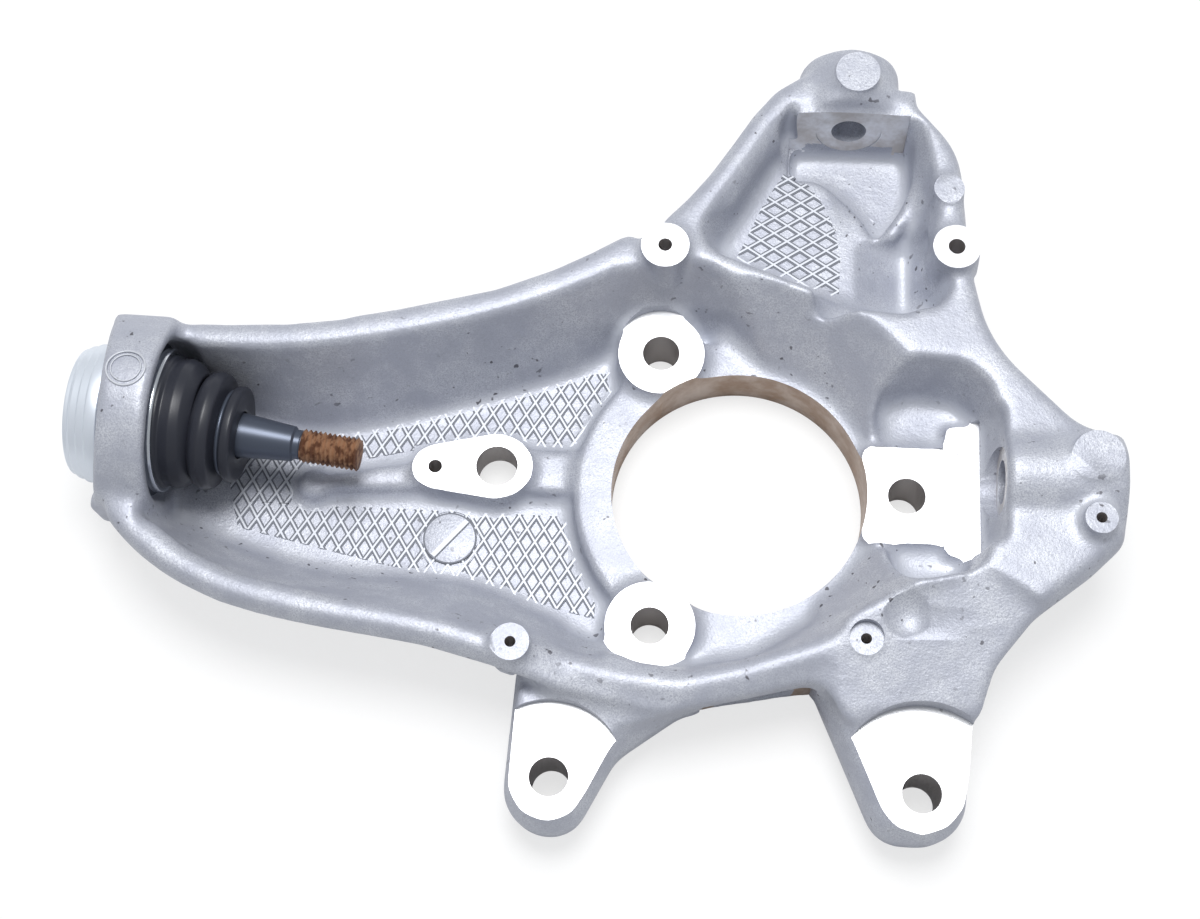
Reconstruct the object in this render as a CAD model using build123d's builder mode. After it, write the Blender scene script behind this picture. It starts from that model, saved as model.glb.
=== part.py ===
from build123d import *
import os
from math import cos, radians, sin, tan

os.makedirs("parts", exist_ok=True)

# Frame: origin on the hub axis in the plane that the knuckle rests on.
# +Z is the hub axis, towards the inboard side; the ball joint is at -X; the upper link is at +Y.

# Hub seat
hub_bore_d = 92.0
hub_face_z = 0.0
hub_recess_d = 104.0
hub_recess_depth = 4.0
hub_ring_top = 20.0
hub_ring_wall = 14.0
hub_pcd = 120.0
hub_bolt_count = 3
hub_bolt_d = 13.5
hub_pad_r = 16.2
hub_pad_top = 24.0
hub_bowl_angle = 38.0
valley_floor = 21.0

# Casting levels and walls
rim_top = 50.0
parting_z = 42.0
under_z = 3.0
floor_top = 10.0
rim_width = 8.0
bead_draft = 18.0
outer_draft = 7.0
pocket_draft = 18.0

# Left arm: station, outer lower edge, outer upper edge, lower and upper edge of the trough's floor
arm_stations = (
    (-221.0, -27.0, 46.0, -6.0, 30.0),
    (-202.0, -44.0, 46.0, -17.0, 34.0),
    (-176.0, -56.0, 46.0, -26.0, 24.0),
    (-142.0, -63.0, 50.0, -33.0, 23.0),
    (-106.0, -68.0, 58.0, -34.0, 33.0),
    (-76.0, -76.0, 68.0, -42.0, 43.0),
    (-44.0, -84.0, 84.0, -52.0, 54.0),
)
arm_under_step = 5.0
trough_start_x = -209.0

# Ball joint seat in the end of the left arm
eye_x = -219.5
eye_y = 14.0
eye_z = 36.0
eye_angle = 4.0
eye_r = 36.0
eye_back = 8.5
eye_outer = 4.5
eye_inner = 15.0
eye_lean = 6.5
eye_flat_up = 49.0
eye_flat_down = -26.0
eye_corner_r = 8.0
eye_bore_d = 48.0
eye_counterbore_d = 58.0
eye_counterbore_depth = 7.0
eye_seat_d = 56.0

# Ball joint: distances run along the housing's axis from the ball's centre, towards the hub
ball_r = 12.0
race_clear = 0.08
race_wall = 2.9
race_back = 8.0
race_front = 6.0
press_clear = 0.02
housing_flange_r = 26.0
housing_flange_t = 4.4
housing_step_r = 25.0
housing_step_t = 3.2
housing_tail_r = 24.0
housing_tail_t = 5.4
housing_front = 17.0
housing_mouth_r = 11.7
housing_mouth_angle = 35.0
housing_collar_end = 10.4
boot_groove_r = 21.5
cap_r = 20.0
cap_t = 2.6
cap_dish_r = 12.0
snap_ring_clear = 1.4
snap_ring_t = 2.2
snap_ring_gap = 7.0

# Rubber boot with two folds, and its two rings
boot_clear = 0.3
boot_wall = 1.8
boot_bead_r = 24.0
boot_bead_end = 15.4
boot_fold_1 = (20.5, 23.0)
boot_valley_1 = (26.8, 18.6)
boot_fold_2 = (31.4, 21.4)
boot_valley_2 = (36.4, 14.0)
boot_lip_r = 17.3
boot_end = 41.4
clamp_ring_wire = 0.9
neck_ring_wire = 0.8
ring_clear = 0.05

# Ball stud: distances run along the stud from the ball's centre
stud_angle = 3.5
stud_neck_r = 6.5
stud_flare_start = 30.0
stud_flare_end = 35.0
stud_taper_start = 40.0
stud_taper_end = 60.5
stud_large_r = 8.2
stud_small_r = 6.3
stud_relief_r = 5.3
stud_relief_w = 2.6
stud_thread_r = 6.0
stud_end = 84.5
stud_end_chamfer = 1.0

# Sensor pad on the trough's floor
sensor_bore_d = 15.2
sensor_x = -88.0
sensor_y = 7.0
sensor_pad_r = 13.0
sensor_screw_d = 5.0
sensor_screw_x = -110.5
sensor_screw_y = 6.0
sensor_screw_pad_r = 8.7
sensor_pad_top = 19.0
rib_top = 16.0
rib_end_x = -155.0
rib_end_r = 6.0
date_disc_x = -104.0
date_disc_y = -19.5
date_disc_r = 9.5
date_disc_rise = 0.8

# Caliper ears
ear_spacing = 126.0
ear_left_x = -62.0
ear_y = -108.0
ear_hole_d = 13.5
ear_face_z = 30.0
ear_under_z = 4.0
ear_spot_d = 21.4
ear_spot_depth = 0.5
ear_step_radii = (26.0, 30.0)
ear_parting_z = 20.0
ear_face_run = 3.0
ear_under_run = 1.5
ear_shoulder_z = 38.0

# Upper head
head_x = 37.0
head_z = 37.0
head_dip = 6.0
head_boss_r = 19.0
head_boss_end = 165.0
head_seat_y = 141.0
head_bore_d = 13.0
head_spot_d = 24.4
head_spot_depth = 0.8
head_button_r = 8.3
head_button_top = 58.0
head_floor = 24.0
wrench_floor = 17.0
diamond_floor = 29.0

# Right arm
arm_end_x = 133.0
arm_bore_y = 2.0
arm_bore_z = 37.0
arm_bore_d = 15.6
arm_seat_x = 91.0
arm_spot_d = 28.0
arm_spot_depth = 0.8
arm_boss_r = 18.5
arm_nut_floor = 24.0
arm_pocket_floor = 14.0
arm_floor_half = 18.0
arm_floor_strip = 9.0
arm_floor_strip_half = 25.0

# Lower flange with the wheel speed sensor's bore
flange_x = 10.0
flange_y = -72.2
flange_turn = 11.0
flange_w = 44.0
flange_top = 20.0
flange_mill_x = -3.0
flange_mill_w = 38.0
flange_mill_reach = 10.0
speed_bore_d = 11.0
speed_x = 4.0
speed_z = 9.5
speed_screw_d = 5.0
speed_screw_x = -11.0
speed_screw_z = 7.0
speed_screw_depth = 14.0

# Splash shield and bracket screws: x, y, height of the face, radius of its boss, hole diameter
shield_screws = (
    (-30.0, 82.0, 53.0, 8.6, 5.0),
    (74.5, 85.0, 54.0, 8.4, 6.0),
    (-76.5, -67.0, 50.8, 6.4, 3.8),
    (44.0, -58.0, 41.0, 5.0, 3.8),
    (122.0, -16.0, 55.5, 5.5, 3.8),
)
shield_hole_depth = 16.0
marks = ((122.0, 7.0, 55.8, 9.3), (72.5, 110.0, 51.0, 6.2))

hub_bore_r = hub_bore_d / 2
pcd_r = hub_pcd / 2
ear_right_x = ear_left_x + ear_spacing

# The ball joint's own plane: local Z runs along the housing towards the hub, from the ball's centre.
housing_dir = Vector(cos(radians(eye_angle)), -sin(radians(eye_angle)), 0)
ball_centre = Vector(eye_x, eye_y, eye_z)
joint_plane = Plane(origin=(eye_x, eye_y, eye_z), x_dir=(0, 0, 1), z_dir=housing_dir)
stud_total = radians(eye_angle + stud_angle)
stud_dir = Vector(cos(stud_total), -sin(stud_total), 0)

# Plane of the upper link's nut seat: local Z runs out along the bore.
head_dir = Vector(0, cos(radians(head_dip)), -sin(radians(head_dip)))
head_plane = Plane(origin=(head_x, head_seat_y, head_z), x_dir=(1, 0, 0), z_dir=head_dir)
flange_plane = Plane(
    origin=(flange_x, flange_y, 0),
    x_dir=(cos(radians(flange_turn)), sin(radians(flange_turn)), 0),
    z_dir=(sin(radians(flange_turn)), -cos(radians(flange_turn)), 0),
)
arm_plane = Plane(origin=(arm_seat_x, arm_bore_y, arm_bore_z), x_dir=(0, 1, 0), z_dir=(1, 0, 0))


def drafted(outline, base_z, height, run, mode=Mode.ADD):
    """Walls that lean: the outline at base_z, and the same outline moved outwards by run at the other end."""
    with BuildSketch(Plane.XY.offset(base_z)) as near:
        add(outline)
    with BuildSketch(Plane.XY.offset(base_z + height)) as far:
        add(outline)
        offset(amount=run, kind=Kind.ARC)
    loft([near.sketch.face(), far.sketch.face()], ruled=True, mode=mode)


def outline_of(*points, radius):
    """A flat closed outline with rounded corners."""
    with BuildSketch() as outline:
        with BuildLine():
            FilletPolyline(*points, radius=radius, close=True)
        make_face()
    return outline.sketch


def draft_run(height, angle):
    """How far a wall of that height leans out at that angle."""
    return height * tan(radians(angle))


def turned_plane(direction):
    """A plane through the ball's centre: local X is the radius, local Y runs along the given direction."""
    across = Vector(0, 0, 1).cross(direction)
    return Plane(origin=ball_centre, x_dir=(0, 0, 1), z_dir=across)


with BuildPart() as casting:
    # Outer walls of the trough-shaped left arm
    for x, low, high, floor_low, floor_high in arm_stations:
        with BuildSketch(Plane.YZ.offset(x)):
            with BuildLine():
                Polyline(
                    (low, parting_z),
                    (low + 2, rim_top),
                    (high - 2, rim_top),
                    (high, parting_z),
                    (floor_high + arm_under_step, under_z),
                    (floor_low - arm_under_step, under_z),
                    close=True,
                )
            make_face()
    loft()

    # Body round the hub, with the head and the right arm
    body = outline_of(
        (-70, -77), (-70, 70), (-18, 97), (15, 152), (58, 152), (78, 128), (81, 84), (88, 52),
        (118, 22), (arm_end_x, 18), (arm_end_x, -21), (121, -33), (101, -49), (88, -66),
        (83, -86), (38, -88), (29, -73), (-14, -84), (-38, -92),
        radius=[8, 8, 60, 10, 12, 30, 60, 50, 20, 8, 8, 12, 20, 20, 8, 8, 6, 12, 8],
    )
    drafted(body, parting_z, rim_top - parting_z, -draft_run(rim_top - parting_z, bead_draft))
    drafted(body, parting_z, under_z - parting_z, -draft_run(parting_z - under_z, outer_draft))

    # The rim drops to the shoulders of the caliper ears under the hub
    with BuildSketch(Plane.XZ.offset(52)):
        with BuildLine():
            Polyline((-84, rim_top + 5), (-84, rim_top), (-52, ear_shoulder_z + 2), (-30, ear_shoulder_z))
            Polyline((-30, ear_shoulder_z), (62, ear_shoulder_z), (84, ear_shoulder_z + 3), (110, rim_top))
            Polyline((110, rim_top), (110, rim_top + 5), (-84, rim_top + 5))
        make_face()
    extrude(amount=60, mode=Mode.SUBTRACT)

    # Trough of the left arm, from the eye's inner face on
    trough_stations = ((trough_start_x, -39.0, 46.0, -15.0, 35.0),) + arm_stations[1:]
    for x, low, high, floor_low, floor_high in trough_stations:
        with BuildSketch(Plane.YZ.offset(x)):
            with BuildLine():
                Polyline(
                    (low + rim_width, rim_top + 1),
                    (high - rim_width, rim_top + 1),
                    (floor_high, floor_top),
                    (floor_low, floor_top),
                    close=True,
                )
            make_face()
    loft(mode=Mode.SUBTRACT)

    # Basin round the hub, the trough's other end
    basin = outline_of(
        (-60, -52), (-46, -56), (-20, -62), (4, -58), (26, -44), (26, 30), (-4, 56), (-20, 66),
        (-38, 62), (-60, 50),
        radius=[1, 20, 20, 20, 10, 20, 14, 10, 20, 1],
    )
    depth = rim_top + 1 - floor_top
    drafted(basin, floor_top, depth, draft_run(depth, pocket_draft), Mode.SUBTRACT)

    # Small valley beside the upper hub pad
    valley = outline_of((-24, 58), (-17, 68), (-4, 63), (1, 53), (-14, 46), radius=[5, 5, 5, 4, 5])
    depth = rim_top + 1 - valley_floor
    drafted(valley, valley_floor, depth, draft_run(depth, pocket_draft) / 2, Mode.SUBTRACT)

    # Slope from the ridges down to the hub's bore
    bowl_top_r = hub_bore_r + 3 + (rim_top + 1 - hub_ring_top) * tan(radians(hub_bowl_angle))
    with BuildSketch(Plane.XZ):
        with BuildLine():
            Polyline(
                (0, hub_ring_top), (hub_bore_r + 3, hub_ring_top), (bowl_top_r, rim_top + 1), (0, rim_top + 1),
                close=True,
            )
        make_face()
    revolve(axis=Axis.Z, mode=Mode.SUBTRACT)

    # Head: deep pocket, wrench room in front of the nut seat and the channel beside the roll
    head_pocket = outline_of(
        (-12, 89), (2, 113), (10, 130), (22, 137), (57, 137), (60, 122), (63, 104), (60, 90), (60, 66),
        (44, 68), (6, 82),
        radius=[4, 20, 8, 3, 3, 10, 20, 20, 5, 20, 20],
    )
    depth = rim_top + 1 - diamond_floor
    drafted(head_pocket, diamond_floor, depth, draft_run(depth, pocket_draft), Mode.SUBTRACT)
    with BuildSketch(head_plane):
        Rectangle(43, 2 * (head_z - wrench_floor))
    extrude(amount=-16, mode=Mode.SUBTRACT)
    with BuildSketch(Plane.XY.offset(wrench_floor)):
        with BuildLine():
            Polyline((19, 138), (61, 138), (62, 120))
            ThreePointArc((62, 120), (57, 107), (48, 98))
            ThreePointArc((48, 98), (40, 112), (27, 123))
            Polyline((27, 123), (19, 127), (19, 138))
        make_face()
    extrude(amount=rim_top - wrench_floor, mode=Mode.SUBTRACT)
    channel = outline_of(
        (49, 101), (58, 108), (63, 96), (63, 80), (70, 73), (66, 67), (47, 68), radius=[2, 4, 10, 6, 3, 3, 8]
    )
    depth = rim_top + 1 - head_floor
    drafted(channel, head_floor, depth, draft_run(depth, pocket_draft) / 2, Mode.SUBTRACT)

    # Right arm: machined floor in front of its nut seat, and a pocket on each side
    with BuildSketch(Plane.XY.offset(arm_nut_floor)):
        with Locations(((hub_bore_r + arm_seat_x) / 2, 0)):
            Rectangle(arm_seat_x - hub_bore_r, 2 * arm_floor_half)
        with Locations((arm_seat_x - arm_floor_strip / 2, arm_bore_y)):
            Rectangle(arm_floor_strip, 2 * arm_floor_strip_half)
    extrude(amount=rim_top, mode=Mode.SUBTRACT)
    upper_pocket = outline_of(
        (51, 20), (51, 33), (60, 38), (76, 37), (83, 30), (81, 20), radius=[4, 5, 8, 8, 6, 8]
    )
    lower_pocket = outline_of((52, -19), (70, -16), (81, -21), (78, -29), (60, -33), radius=[5, 12, 4, 5, 6])
    depth = rim_top + 5 - arm_pocket_floor
    for pocket in (upper_pocket, lower_pocket):
        drafted(pocket, arm_pocket_floor, depth, draft_run(depth, pocket_draft) / 2, Mode.SUBTRACT)
    with BuildSketch(arm_plane):
        Circle(arm_boss_r)
    extrude(amount=arm_end_x - arm_seat_x)

    # Hub ring with its three bolt pads
    with BuildSketch(Plane.XY.offset(hub_face_z)):
        Circle(hub_bore_r + hub_ring_wall)
    extrude(amount=hub_ring_top - hub_face_z)
    with BuildSketch(Plane.XY.offset(hub_face_z)):
        with PolarLocations(pcd_r, hub_bolt_count):
            Circle(hub_pad_r)
    extrude(amount=hub_pad_top - hub_face_z)

    # Caliper ears, widest at their parting line, with a round step above each machined face
    left_ear = outline_of(
        (-76, -66), (-78.8, -126), (-53, -126), (-39, -98), (-15, -80), (-15, -66), radius=[4, 16, 14, 14, 6, 4]
    )
    right_ear = outline_of((25, -66), (50, -123.5), (80.5, -124), (81, -66), radius=[5, 14, 16, 4])
    for ear in (left_ear, right_ear):
        drafted(ear, ear_parting_z, ear_face_z - ear_parting_z, -ear_face_run)
        drafted(ear, ear_parting_z, ear_under_z - ear_parting_z, -ear_under_run)
    for x, step_r in ((ear_left_x, ear_step_radii[0]), (ear_right_x, ear_step_radii[1])):
        with BuildSketch(Plane.XY.offset(ear_face_z)):
            with Locations((x, ear_y)):
                Circle(step_r)
        extrude(amount=rim_top, mode=Mode.SUBTRACT)

    # Upper head's boss, with the round button on it
    with BuildSketch(head_plane):
        Circle(head_boss_r)
    extrude(amount=head_boss_end - head_seat_y)
    with BuildSketch(Plane.XY.offset(head_z)):
        with Locations((head_x + 1, head_boss_end - 11)):
            Circle(head_button_r)
    extrude(amount=head_button_top - head_z)

    # Eye for the ball joint: an arch on two upright sides, whose outer face leans in towards the top
    with BuildSketch(joint_plane.offset(-eye_back)):
        Circle(eye_r)
        with Locations(
            (eye_corner_r, eye_flat_up - eye_y - eye_corner_r),
            (-eye_corner_r * 2, eye_flat_up - eye_y - eye_corner_r),
            (eye_corner_r, eye_flat_down - eye_y + eye_corner_r),
            (-eye_corner_r * 2, eye_flat_down - eye_y + eye_corner_r),
        ):
            Circle(eye_corner_r)
        make_hull()
    extrude(amount=eye_back + eye_inner)
    with BuildSketch(Plane.XZ.offset(-eye_y - 60)):
        with BuildLine():
            Polyline(
                (eye_x - eye_back - 20, eye_z),
                (eye_x - eye_back, eye_z),
                (eye_x - eye_back + eye_lean, eye_z + eye_r),
                (eye_x - eye_back - 20, eye_z + eye_r + 1),
                close=True,
            )
        make_face()
    extrude(amount=120, mode=Mode.SUBTRACT)

    # Sensor pad, its rib along the trough and the round boss at the rib's end
    with BuildSketch(Plane.XY.offset(under_z)):
        with Locations((sensor_x, sensor_y)):
            Circle(sensor_pad_r)
        with Locations((sensor_screw_x, sensor_screw_y)):
            Circle(sensor_screw_pad_r)
        make_hull()
    extrude(amount=sensor_pad_top - under_z)
    with BuildSketch(Plane.XY.offset(under_z)):
        with BuildLine():
            Polyline(
                (sensor_x, sensor_y - 8.5), (-50, sensor_y - 8.5), (-50, sensor_y + 8.5), (sensor_x, sensor_y + 8.5),
                close=True,
            )
        make_face()
        with BuildLine():
            Polyline(
                (sensor_x, sensor_y + 7), (rib_end_x, 2), (rib_end_x, -4), (sensor_x, sensor_y - 7), close=True
            )
        make_face()
        with Locations((rib_end_x, -1)):
            Circle(rib_end_r)
    extrude(amount=rib_top - under_z)
    with BuildSketch(Plane.XY.offset(floor_top - 1)):
        with Locations((date_disc_x, date_disc_y)):
            Circle(date_disc_r)
    extrude(amount=1 + date_disc_rise)

    # Bosses of the shield screws and the plain round marks
    for x, y, top, boss_r, hole_d in shield_screws:
        with BuildSketch(Plane.XY.offset(top - 14)):
            with Locations((x, y)):
                Circle(boss_r)
        extrude(amount=14)
    for x, y, top, mark_r in marks:
        with BuildSketch(Plane.XY.offset(top - 6)):
            with Locations((x, y)):
                Circle(mark_r)
        extrude(amount=6)

    # Lower flange, a flat upright face with the speed sensor's bore
    with BuildSketch(flange_plane):
        with Locations((0, flange_top / 2)):
            Rectangle(flange_w, flange_top)
    extrude(amount=-flange_top)
    with BuildSketch(flange_plane):
        with Locations((flange_mill_x, (flange_top - 1) / 2)):
            Rectangle(flange_mill_w, flange_top + 1)
    extrude(amount=flange_mill_reach, mode=Mode.SUBTRACT)

    # Machined bores
    with Locations((0, 0, rim_top)):
        Hole(hub_bore_r, depth=2 * rim_top)
    with BuildSketch(Plane.XY.offset(hub_face_z - 1)):
        Circle(hub_recess_d / 2)
    extrude(amount=1 + hub_recess_depth, mode=Mode.SUBTRACT)
    with Locations((0, 0, hub_pad_top)):
        with PolarLocations(pcd_r, hub_bolt_count):
            Hole(hub_bolt_d / 2, depth=rim_top)
    with BuildSketch(Plane.XY.offset(hub_pad_top)):
        with PolarLocations(pcd_r, hub_bolt_count):
            Circle(hub_pad_r)
    extrude(amount=rim_top, mode=Mode.SUBTRACT)
    with Locations((ear_left_x, ear_y, ear_face_z), (ear_right_x, ear_y, ear_face_z)):
        CounterBoreHole(ear_hole_d / 2, ear_spot_d / 2, ear_spot_depth, depth=rim_top)
    with Locations((sensor_x, sensor_y, sensor_pad_top)):
        Hole(sensor_bore_d / 2, depth=rim_top)
    with Locations((sensor_screw_x, sensor_screw_y, sensor_pad_top)):
        Hole(sensor_screw_d / 2, depth=rim_top)
    with Locations(Location(-head_plane)):
        CounterBoreHole(head_bore_d / 2, head_spot_d / 2, head_spot_depth, depth=80)
    with Locations(Location(-arm_plane)):
        CounterBoreHole(arm_bore_d / 2, arm_spot_d / 2, arm_spot_depth, depth=80)
    for x, y, top, boss_r, hole_d in shield_screws:
        with Locations((x, y, top)):
            Hole(hole_d / 2, depth=shield_hole_depth)

    with BuildSketch(flange_plane):
        with Locations((speed_x, speed_z)):
            Circle(speed_bore_d / 2)
    extrude(amount=flange_y + hub_bore_r - 10, mode=Mode.SUBTRACT)
    with BuildSketch(flange_plane):
        with Locations((speed_screw_x, speed_screw_z)):
            Circle(speed_screw_d / 2)
    extrude(amount=-speed_screw_depth, mode=Mode.SUBTRACT)

    # Ball joint seat
    with BuildSketch(joint_plane.offset(-eye_outer)):
        Circle(eye_seat_d / 2)
    extrude(amount=-eye_back, mode=Mode.SUBTRACT)
    with BuildSketch(joint_plane.offset(-eye_outer - 1)):
        Circle(eye_bore_d / 2)
    extrude(amount=eye_outer + eye_inner + 2, mode=Mode.SUBTRACT)
    with BuildSketch(joint_plane.offset(eye_inner - eye_counterbore_depth)):
        Circle(eye_counterbore_d / 2)
    extrude(amount=eye_counterbore_depth + 6, mode=Mode.SUBTRACT)

casting.part.label = "knuckle_casting"
export_step(casting.part, "parts/knuckle_casting.step")


# Steel housing of the ball joint, pressed into the eye from outside
joint_axis = Axis(ball_centre, housing_dir)
joint_profile_plane = turned_plane(housing_dir)
stud_axis = Axis(ball_centre, stud_dir)
stud_profile_plane = turned_plane(stud_dir)
housing_r = eye_bore_d / 2 - press_clear
cavity_r = ball_r + race_clear + race_wall + race_clear
flange_back = -eye_outer - housing_flange_t
step_back = flange_back - housing_step_t
tail_back = step_back - housing_tail_t
cap_seat = tail_back + cap_t + 0.6
mouth_end_r = housing_mouth_r + (housing_front - race_front) * tan(radians(housing_mouth_angle))
cavity_front = (cavity_r**2 - housing_mouth_r**2) ** 0.5

with BuildPart() as housing:
    with BuildSketch(joint_profile_plane):
        with BuildLine():
            Polyline(
                (cavity_r, 0),
                (cavity_r, cap_seat),
                (cap_r, cap_seat),
                (cap_r, tail_back),
                (housing_tail_r, tail_back),
                (housing_tail_r, step_back),
                (housing_step_r, step_back),
                (housing_step_r, flange_back),
                (housing_flange_r, flange_back),
                (housing_flange_r, -eye_outer),
                (housing_r, -eye_outer),
                (housing_r, housing_collar_end),
                (boot_groove_r, housing_collar_end),
                (boot_groove_r, housing_front),
                (mouth_end_r, housing_front),
                (housing_mouth_r, cavity_front),
            )
            ThreePointArc(
                (housing_mouth_r, cavity_front),
                (cavity_r * cos(radians(20)), cavity_r * sin(radians(20))),
                (cavity_r, 0),
            )
        make_face()
    revolve(axis=joint_axis)
housing.part.label = "ball_joint_housing"
export_step(housing.part, "parts/ball_joint_housing.step")

# Cap rolled into the housing's tail, with a shallow dish
with BuildPart() as cap:
    with BuildSketch(joint_profile_plane):
        with BuildLine():
            Polyline(
                (0, cap_seat),
                (cap_r - press_clear, cap_seat),
                (cap_r - press_clear, cap_seat - cap_t),
                (cap_dish_r + 1.5, cap_seat - cap_t),
                (cap_dish_r, cap_seat - cap_t + 1),
                (0, cap_seat - cap_t + 1),
                close=True,
            )
        make_face()
    revolve(axis=joint_axis)
cap.part.label = "housing_cap"
export_step(cap.part, "parts/housing_cap.step")

# Retaining ring in the eye's counterbore, open at one side
snap_ring_outer_r = eye_counterbore_d / 2 - snap_ring_clear
with BuildPart() as snap_ring:
    with BuildSketch(joint_plane.offset(eye_inner - eye_counterbore_depth)):
        Circle(snap_ring_outer_r)
        Circle(housing_r + 0.1, mode=Mode.SUBTRACT)
        with Locations((snap_ring_outer_r, 0)):
            Rectangle(2 * snap_ring_gap, snap_ring_gap, mode=Mode.SUBTRACT)
    extrude(amount=snap_ring_t)
snap_ring.part.label = "retaining_ring"
export_step(snap_ring.part, "parts/retaining_ring.step")

# Bearing shell round the ball
shell_in_r = ball_r + race_clear
shell_out_r = shell_in_r + race_wall
with BuildPart() as shell:
    with BuildSketch(joint_profile_plane):
        Circle(shell_out_r)
        Circle(shell_in_r, mode=Mode.SUBTRACT)
        with Locations((-shell_out_r, 0)):
            Rectangle(2 * shell_out_r, 4 * shell_out_r, mode=Mode.SUBTRACT)
        with Locations((0, race_front + shell_out_r)):
            Rectangle(4 * shell_out_r, 2 * shell_out_r, mode=Mode.SUBTRACT)
        with Locations((0, -race_back - shell_out_r)):
            Rectangle(4 * shell_out_r, 2 * shell_out_r, mode=Mode.SUBTRACT)
    revolve(axis=joint_axis)
shell.part.label = "bearing_shell"
export_step(shell.part, "parts/bearing_shell.step")

# Ball stud
neck_start = (ball_r**2 - stud_neck_r**2) ** 0.5
with BuildPart() as stud:
    with BuildSketch(stud_profile_plane):
        with BuildLine():
            ThreePointArc((0, -ball_r), (ball_r, 0), (stud_neck_r, neck_start))
            Polyline(
                (stud_neck_r, neck_start),
                (stud_neck_r, stud_flare_start),
                (stud_large_r, stud_flare_end),
                (stud_large_r, stud_taper_start),
                (stud_small_r, stud_taper_end),
                (stud_relief_r, stud_taper_end + 0.6),
                (stud_relief_r, stud_taper_end + stud_relief_w),
                (stud_thread_r, stud_taper_end + stud_relief_w + 0.6),
                (stud_thread_r, stud_end - stud_end_chamfer),
                (stud_thread_r - stud_end_chamfer, stud_end),
                (0, stud_end),
                (0, -ball_r),
            )
        make_face()
    revolve(axis=stud_axis)
stud.part.label = "ball_stud"
export_step(stud.part, "parts/ball_stud.step")

# Rubber boot: its foot sits in the housing's groove, its folds and lip are in line with the stud
boot_foot = housing_collar_end + boot_clear
boot_foot_r = boot_groove_r + boot_clear
boot_hole_r = stud_large_r + boot_clear
boot_join = housing_front + boot_clear
boot_join_r = boot_fold_1[1] - boot_wall - 0.6
with BuildPart() as boot:
    with BuildSketch(joint_profile_plane):
        with BuildLine():
            Polyline(
                (boot_foot_r, boot_foot),
                (boot_bead_r, boot_foot),
                (boot_bead_r, boot_bead_end),
                (boot_fold_1[1], boot_fold_1[0] - 1),
                (boot_join_r, boot_fold_1[0] - 1),
                (boot_join_r, boot_join),
                (boot_foot_r, boot_join),
                close=True,
            )
        make_face()
    revolve(axis=joint_axis)
    with BuildSketch(stud_profile_plane):
        with BuildLine():
            Polyline(
                (boot_fold_1[1], boot_fold_1[0] - 2),
                (boot_fold_1[1], boot_fold_1[0]),
                (boot_valley_1[1], boot_valley_1[0]),
                (boot_fold_2[1], boot_fold_2[0]),
                (boot_valley_2[1], boot_valley_2[0] - 0.9),
                (boot_valley_2[1], boot_valley_2[0] + 0.9),
                (boot_lip_r, boot_valley_2[0] + 1.6),
                (boot_lip_r, boot_end - 0.8),
                (boot_lip_r - 0.8, boot_end),
                (boot_hole_r, boot_end),
                (boot_hole_r, boot_valley_2[0] + 1),
                (boot_valley_2[1] - boot_wall, boot_valley_2[0] - 1.6),
                (boot_fold_2[1] - boot_wall - 0.4, boot_fold_2[0]),
                (boot_valley_1[1] - boot_wall, boot_valley_1[0]),
                (boot_fold_1[1] - boot_wall, boot_fold_1[0]),
                (boot_fold_1[1] - boot_wall, boot_fold_1[0] - 2),
                close=True,
            )
        make_face()
    revolve(axis=stud_axis)
boot.part.label = "rubber_boot"
export_step(boot.part, "parts/rubber_boot.step")

# Ring that clamps the boot's foot, and the spring ring in its last valley
clamp_middle = (boot_foot + boot_bead_end) / 2
clamp_r = boot_bead_r + clamp_ring_wire + ring_clear
neck_r = boot_valley_2[1] + neck_ring_wire + ring_clear
for name, profile_plane, axis, middle, wire in (
    ("boot_clamp_ring", joint_profile_plane, joint_axis, (clamp_r, clamp_middle), clamp_ring_wire),
    ("boot_neck_ring", stud_profile_plane, stud_axis, (neck_r, boot_valley_2[0]), neck_ring_wire),
):
    with BuildPart() as ring:
        with BuildSketch(profile_plane):
            with Locations(middle):
                Circle(wire)
        revolve(axis=axis)
    ring.part.label = name
    export_step(ring.part, f"parts/{name}.step")
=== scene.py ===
import math

import bmesh
import bpy
import numpy as np
from mathutils import Matrix, Vector


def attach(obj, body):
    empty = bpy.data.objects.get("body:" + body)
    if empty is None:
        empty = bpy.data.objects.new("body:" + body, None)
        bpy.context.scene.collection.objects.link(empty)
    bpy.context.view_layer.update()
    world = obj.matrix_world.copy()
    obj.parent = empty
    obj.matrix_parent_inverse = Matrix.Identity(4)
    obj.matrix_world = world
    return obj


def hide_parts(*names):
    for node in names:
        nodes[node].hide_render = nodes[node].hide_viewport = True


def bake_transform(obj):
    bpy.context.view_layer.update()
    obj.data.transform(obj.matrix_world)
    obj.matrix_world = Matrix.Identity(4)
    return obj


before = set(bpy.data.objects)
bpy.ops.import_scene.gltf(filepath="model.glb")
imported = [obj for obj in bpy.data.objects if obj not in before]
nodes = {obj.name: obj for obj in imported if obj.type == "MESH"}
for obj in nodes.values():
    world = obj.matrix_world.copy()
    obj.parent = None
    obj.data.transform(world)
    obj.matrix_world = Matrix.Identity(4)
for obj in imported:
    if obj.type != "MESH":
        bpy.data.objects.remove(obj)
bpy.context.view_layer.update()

# All sizes are in millimetres in the row frame. The meshes are scaled to metres when they are finished.
MM = 0.001

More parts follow.
